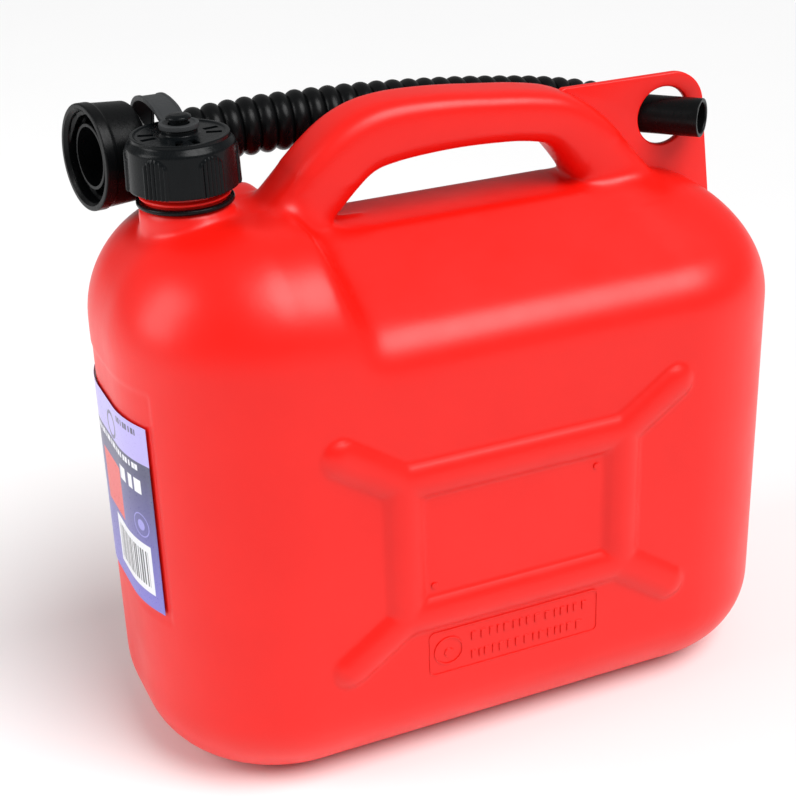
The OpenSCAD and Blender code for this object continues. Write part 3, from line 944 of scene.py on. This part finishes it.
def slot_block(turn):
    """Upright block over one slot of the cap's disc."""
    half = SLOT_WIDTH / 2
    loop = rounded_loop((SLOT_START, -half), (SLOT_START + SLOT_LENGTH, half), 0.4, 3)
    x = loop[:, 0] * math.cos(turn) - loop[:, 1] * math.sin(turn) + NECK_X
    y = loop[:, 0] * math.sin(turn) + loop[:, 1] * math.cos(turn)
    count = len(loop)
    layers = [np.column_stack([x, y, np.full(count, z)]) for z in (DISC_TOP - 3, DISC_TOP + 1)]
    faces = grid_faces(2, count) + [tuple(reversed(range(count))), tuple(range(count, 2 * count))]
    return np.vstack(layers), faces


def cut_slots(piece):
    """Cuts four pairs of slots through the cap's disc."""
    turns = [SLOT_TURN + k * math.pi / 2 + side * SLOT_SPREAD for k in range(4) for side in (-1, 1)]
    cutter = new_piece("slot_cutter", *joined([slot_block(turn) for turn in turns]), piece.data.materials[0])
    modifier = piece.modifiers.new("slots", "BOOLEAN")
    modifier.operation = "DIFFERENCE"
    modifier.solver = "EXACT"
    modifier.object = cutter
    apply_modifiers(piece)
    bpy.data.objects.remove(cutter)
    return piece


def cap_profile():
    """Closed section of the cap's shell, from the foot of its skirt over the stud and back inside."""
    face = DISC_TOP - 0.6
    skirt = [
        [CAP_BORE, SKIRT_BOTTOM], [SKIRT_RADIUS, SKIRT_BOTTOM], [SKIRT_RADIUS - 0.1, SKIRT_BOTTOM + 1.6],
        [SKIRT_TOP_RADIUS, 287.6], [20.9, 289.9],
    ]
    top = [
        [20.9, 289.9], [20.75, 290.3], [20.8, DISC_TOP], [19.3, DISC_TOP], [18.7, face], [8.6, face],
        [7.6, DISC_TOP], [7.5, 293.6], [4, 293.6], [4, 297.7], [5.4, 297.7], [5.2, 298.7],
        [3.6, STUD_TOP - 0.3], [0.02, STUD_TOP],
    ]
    inside = [[0.02, 290.1], [19.2, 290.1], [CAP_BORE, 287.6], [CAP_BORE, SKIRT_BOTTOM]]
    outside = round_corners(skirt, 0.9, 5) + round_corners(top, 0.35, 3)[1:]
    return np.vstack([resample(outside, 0.6), resample(inside, 3)])


def press_grips(points):
    """Raises the groups of finger ribs, each under a low arch, round the skirt."""
    radius = np.hypot(points[:, 0], points[:, 1])
    angle = np.arctan2(points[:, 1], points[:, 0])
    z = points[:, 2]
    sector = 2 * math.pi / GRIP_GROUPS
    group = (angle - GRIP_TURN + sector / 2) % sector - sector / 2
    half_group = GRIP_STEP * GRIPS / 2
    arch = GRIP_TOP - GRIP_ARCH * (group / half_group) ** 2
    under_arch = 1 - smoothstep(z, arch - 1, arch)
    patch = (1 - smoothstep(np.abs(group), half_group * 0.96, half_group * 1.06)) * under_arch
    ribs = np.abs(np.cos(math.pi * (group / GRIP_STEP + 0.5))) ** 0.7
    on_skirt = (radius > 22.4) & (z > SKIRT_BOTTOM + 0.2)
    grow = np.where(on_skirt, patch * (GRIP_BASE + GRIP_RISE * ribs), 0)
    points[:, :2] *= ((radius + grow) / np.maximum(radius, 1e-6))[:, None]
    return points


def make_cap(material):
    """Outer shell of the cap with its grips, slots, hub and stud."""
    points, faces = lathe(cap_profile(), 480)
    shell = new_piece("cap_cover", press_grips(points) + [NECK_X, 0, 0], faces, material)
    return add_sharp_edges(cut_slots(shell), 60)


# ---------------------------------------------------------------- retainer

STRAP_WIDTH = 11
STRAP_PATH = [
    [6.9, 294.9], [12, 295.6], [18, 297.4], [30, 298.2], [42, 297], [52, 293.2], [58.4, 286.4], [61, 276.8],
    [59, 265.6], [49.4, 259], [38, 258.9], [28, 261.2], [21.5, 263.1], [19.5, 263.1],
]
EYE_BOTTOM = 293.9
EYE_TOP = 296.1


def make_strap(material):
    """Flat strap with a raised rim along both edges."""
    path = catmull([[NECK_X, y, z] for y, z in STRAP_PATH], 10)
    path, _ = even_steps(path, 0.8)
    along = np.gradient(path, axis=0)
    along /= np.linalg.norm(along, axis=1)[:, None]
    across = np.array([1.0, 0, 0])
    outward = np.cross(across, along)
    half = STRAP_WIDTH / 2
    section = [(-half, 0.0), (-half, 0.85), (-half + 0.25, 1.1), (-half + 1.1, 1.1), (-half + 1.5, 0.7)]
    section += [(-x, t) for x, t in reversed(section)]
    section += [(x, -t) for x, t in reversed(section[1:-1])]
    points = np.vstack([[p + across * x + out * t for x, t in section] for p, out in zip(path, outward)])
    faces = grid_faces(len(path), len(section))
    faces.append(tuple(reversed(range(len(section)))))
    faces.append(tuple(range(len(points) - len(section), len(points))))
    return add_sharp_edges(new_piece("strap", points, faces, material))


def make_eye(material):
    """Eye of the retainer, round the cap's stud."""
    profile = round_corners(
        [[4.5, EYE_BOTTOM], [8.4, EYE_BOTTOM], [8.4, EYE_TOP], [6.9, EYE_TOP], [6.4, EYE_TOP - 0.4],
         [4.5, EYE_TOP - 0.4], [4.5, EYE_BOTTOM]], 0.35,
    )
    points, faces = lathe(profile[:-1], 120, closed=True)
    return add_sharp_edges(new_piece("strap_eye", points + [NECK_X, 0, 0], faces, material))


def make_ring(material):
    """Retainer ring round the neck, under its bead."""
    low, high = box_mm("retainer_ring")
    bottom, top = low[2] + 0.3, high[2] - 0.2
    corners = [[18, bottom], [20.8, bottom], [20.8, top], [18, top], [18, bottom]]
    profile = round_corners(corners, 0.9)
    points, faces = lathe(profile[:-1], 160, closed=True)
    return add_sharp_edges(new_piece("retainer_band", points + [NECK_X, 0, 0], faces, material))


# ---------------------------------------------------------------- spout

NUT_RADIUS = 23.3
THREAD_ROOT = NECK_RADIUS + THREAD_DEPTH + 0.4
FLANGE_AT = 13
FLANGE_THICKNESS = 2
FLANGE_RADIUS = 18.5
SPIGOT_RADIUS = 14.4
SPIGOT_BORE = 12.9
PIPE_RADIUS = 9.8
PIPE_BORE = 7
PIPE_END = 43
HOSE_RADIUS = 13.1
HOSE_DEPTH = 2.1
RIDGE_PITCH = 7.6
TIP_RADIUS = 9
TIP_BORE = 7
TIP_BEHIND = 17
TIP_AHEAD = 19.5
TIP_PLACE = np.array([117.5, 0, 266])
TIP_TURN = math.radians(-50)
TIP_RISE = math.radians(1)
TIP_AXIS = np.array([
    math.cos(TIP_RISE) * math.cos(TIP_TURN), math.cos(TIP_RISE) * math.sin(TIP_TURN), math.sin(TIP_RISE),
])
HOSE_ROUTE = [
    [-88.8, 45.5, 275.9], [-60, 42, 277.7], [-20, 37, 278.2], [20, 34, 276], [50, 32.8, 272.9],
    [70, 32.4, 270.1], [86, 29.6, 267.4], [96.5, 23.6, 265.8],
]


def make_nut(material):
    """Coupling nut with an inside thread, a stepped rim and a shouldered rear."""
    outside = round_corners(
        [
            [THREAD_ROOT + 1.4, 0], [NUT_RADIUS, 0], [NUT_RADIUS, 5], [NUT_RADIUS - 0.6, 5.6],
            [NUT_RADIUS - 1.6, 21.3], [NUT_RADIUS - 5, 23.1], [13.2, 26.9], [10.6, 27],
        ], 0.8, 5,
    )
    inside = [[10.6, 27], [10.6, 15.4], [THREAD_ROOT, 15.4], [THREAD_ROOT, 1.6], [THREAD_ROOT + 1.4, 0]]
    profile = np.vstack([resample(outside, 1.2), resample(inside, 0.45)[1:-1]])
    points, faces = lathe(profile, TURN_STEPS, closed=True)
    radius = np.hypot(points[:, 0], points[:, 1])
    angle = np.arctan2(points[:, 1], points[:, 0]) % (2 * math.pi)
    ridge = 1.6 * thread_height(angle, points[:, 2], 3.2, 1.5, THREAD_PITCH)
    shrink = np.where((np.abs(radius - THREAD_ROOT) < 0.1) & (points[:, 2] < 14), ridge, 0)
    points[:, :2] *= ((radius - shrink) / radius)[:, None]
    nut = new_piece("spout_coupling", placed(points, NUT_START, NUT_AXIS), faces, material)
    return add_sharp_edges(nut, 45)


def pipe_and_spigot():
    """The part of the spout inside the nut: spigot, flange and smooth pipe."""
    flange_end = FLANGE_AT + FLANGE_THICKNESS
    outside = [
        [SPIGOT_BORE, 3], [SPIGOT_RADIUS, 3], [SPIGOT_RADIUS, FLANGE_AT], [FLANGE_RADIUS, FLANGE_AT],
        [FLANGE_RADIUS, flange_end], [PIPE_RADIUS, flange_end], [PIPE_RADIUS, PIPE_END + 1],
    ]
    inside = [
        [PIPE_BORE, PIPE_END + 1], [PIPE_BORE, FLANGE_AT + 1], [SPIGOT_BORE, FLANGE_AT + 1], [SPIGOT_BORE, 3],
    ]
    profile = round_corners(outside + inside, 0.4)
    points, faces = lathe(profile[:-1], 96, closed=True)
    return placed(points, NUT_START, NUT_AXIS), faces


def corrugated_tube():
    """Hose wall with round ridges and narrow grooves, open at both ends like the moulding."""
    pipe_tail = NUT_START + NUT_AXIS * PIPE_END
    tip_foot = TIP_PLACE - TIP_AXIS * TIP_BEHIND
    guide = [pipe_tail - NUT_AXIS * 12, pipe_tail] + HOSE_ROUTE + [tip_foot, tip_foot + TIP_AXIS * 12]
    curve = catmull(guide, 40)[40:-40]
    ridges = round(np.linalg.norm(np.diff(curve, axis=0), axis=1).sum() / RIDGE_PITCH)
    curve, at = even_steps(curve, RIDGE_PITCH / 12)
    level, upright = ring_frames(curve)
    phase = at / at[-1] * ridges
    swell = np.abs(np.sin(math.pi * phase)) ** 0.62
    outer = HOSE_RADIUS - HOSE_DEPTH + HOSE_DEPTH * swell
    inner = np.full(len(curve), HOSE_RADIUS - HOSE_DEPTH - 1.5)
    steps = 56
    angles = np.linspace(0, 2 * math.pi, steps, endpoint=False)
    sideways = level[:, None, :] * np.cos(angles)[None, :, None]
    around = sideways + upright[:, None, :] * np.sin(angles)[None, :, None]
    outside = curve[:, None, :] + around * outer[:, None, None]
    bore = curve[::-1, None, :] + around[::-1] * inner[::-1, None, None]
    points = np.concatenate([outside, bore]).reshape(-1, 3)
    return points, grid_faces(2 * len(curve), steps, close_rows=True)


def make_hose(material):
    """Spigot, pipe and corrugated hose in one piece."""
    parts = joined([pipe_and_spigot(), corrugated_tube()])
    return add_sharp_edges(new_piece("filling_hose", *parts, material), 60)


def make_tip(material):
    """Smooth end of the spout, with a cuff behind the ear and a bevelled mouth."""
    length = TIP_BEHIND + TIP_AHEAD
    profile = round_corners(
        [
            [TIP_BORE, 0.1], [11.1, 0.1], [11.1, 2.6], [TIP_RADIUS, 3.2], [TIP_RADIUS, length],
            [TIP_BORE + 0.5, length], [TIP_BORE, length - 0.5], [TIP_BORE, 0.1],
        ], 0.35,
    )
    points, faces = lathe(resample(profile, 3)[:-1], 96, closed=True)
    return add_sharp_edges(
        new_piece("spout_mouth", placed(points, TIP_PLACE - TIP_AXIS * TIP_BEHIND, TIP_AXIS), faces, material)
    )


# ---------------------------------------------------------------- stage, camera, lights

CAMERA_PLACE = np.array([-0.2912, -0.63435, 0.4786])
CAMERA_RIGHT = (0.9141, -0.4044, -0.0315)
CAMERA_UP = (0.2009, 0.3840, 0.9012)
CAMERA_BACK = (-0.3523, -0.8301, 0.4322)
CAMERA_LENS = 73.03
FLOOR_HALF_SIZE = 4000
WORLD_STRENGTH = 0.3


def make_camera():
    """Camera at the photograph's angle; Standard keeps the plastic's own red."""
    bpy.context.scene.view_settings.view_transform = "Standard"
    data = bpy.data.cameras.new("camera")
    data.lens = CAMERA_LENS
    data.sensor_width = 36
    camera = bpy.data.objects.new("camera", data)
    turn = Matrix((CAMERA_RIGHT, CAMERA_UP, CAMERA_BACK)).transposed().to_4x4()
    camera.matrix_world = Matrix.Translation(CAMERA_PLACE) @ turn
    bpy.context.scene.collection.objects.link(camera)
    bpy.context.scene.camera = camera


def area_light(name, place, target, size, power):
    """Rectangular soft light that faces a target."""
    data = bpy.data.lights.new(name, "AREA")
    data.shape = "RECTANGLE"
    data.size, data.size_y = size
    data.energy = power
    light = bpy.data.objects.new(name, data)
    light.location = place
    light.rotation_euler = (Vector(target) - Vector(place)).to_track_quat("-Z", "Y").to_euler()
    bpy.context.scene.collection.objects.link(light)


def sun_light(name, direction, strength, softness):
    """Even light from a direction, softened over an angle in degrees; the floor stays pale far out."""
    data = bpy.data.lights.new(name, "SUN")
    data.energy = strength
    data.angle = math.radians(softness)
    light = bpy.data.objects.new(name, data)
    light.rotation_euler = Vector(direction).to_track_quat("Z", "Y").to_euler()
    bpy.context.scene.collection.objects.link(light)


def make_stage():
    """Pale floor, dim white surroundings, a soft key from the front and a weak fill from the left."""
    shade = Shader("studio_floor", (0.93, 0.93, 0.93), 0.6)
    tone = shade.noise(3, detail=2)
    shade.feed(
        shade.bsdf.inputs["Base Color"], shade.blend_colours(tone, (0.94, 0.94, 0.94), (0.92, 0.92, 0.92))
    )
    half = FLOOR_HALF_SIZE
    corners = [[-half, -half, 0], [half, -half, 0], [half, half, 0], [-half, half, 0]]
    new_piece("floor", corners, [(0, 1, 2, 3)], shade.material)
    world = bpy.data.worlds.new("studio")
    world.use_nodes = True
    background = world.node_tree.nodes["Background"]
    background.inputs["Color"].default_value = (1, 1, 1, 1)
    background.inputs["Strength"].default_value = WORLD_STRENGTH
    bpy.context.scene.world = world
    sun_light("key", (0.3, -0.5, 0.8), 3.0, 42)
    area_light("left", (-1.1, 0.1, 0.7), (0, 0, 0.15), (0.5, 0.8), 6)


# ---------------------------------------------------------------- build

def stand_in(piece, body, slot, *nodes):
    """Hands a piece to the frame: the body it rides on and the nodes it stands for; its finish (slot) is not
    used.
    """
    if nodes:
        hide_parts(*nodes)
    if body:
        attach(piece, body)
    return piece


make_camera()
make_stage()
red = can_plastic()
cap_black = black_plastic("cap_plastic", (0.0025, 0.0035, 0.0042), 0.25)
strap_grey = black_plastic("strap_plastic", (0.036, 0.038, 0.04), 0.45, 0.02)
spout_black = black_plastic("spout_plastic", (0.0018, 0.0021, 0.0024), 0.3)
seal = black_plastic("seal_rubber", (0.006, 0.006, 0.006), 0.75, 0.02)

can = stand_in(make_can(red), "can", "can_red", "can_body")
stand_in(make_marks(red), "can", "can_red")
stand_in(make_label(label_material()), "can", "label_print", "label")
stand_in(make_ring(cap_black), "can", "cap_plastic", "retainer_ring")
strap = stand_in(make_strap(strap_grey), None, "strap_plastic", "retainer_strap")
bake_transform(strap)
stand_in(make_eye(strap_grey), "eyelet", "strap_plastic", "retainer_eyelet")
stand_in(make_cap(cap_black), "outer_cap", "cap_plastic", "cap_shell")
stand_in(make_nut(spout_black), "nut", "spout_plastic", "spout_nut")
hose = stand_in(make_hose(spout_black), None, "spout_plastic", "spout_hose")
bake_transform(hose)
stand_in(make_tip(spout_black), "tip", "spout_plastic", "spout_tip")
for node, material in (("cap_inner", cap_black), ("cap_gasket", seal), ("spout_gasket", seal)):
    mesh = frame["nodes"][node].data
    mesh.materials.clear()
    mesh.materials.append(material)
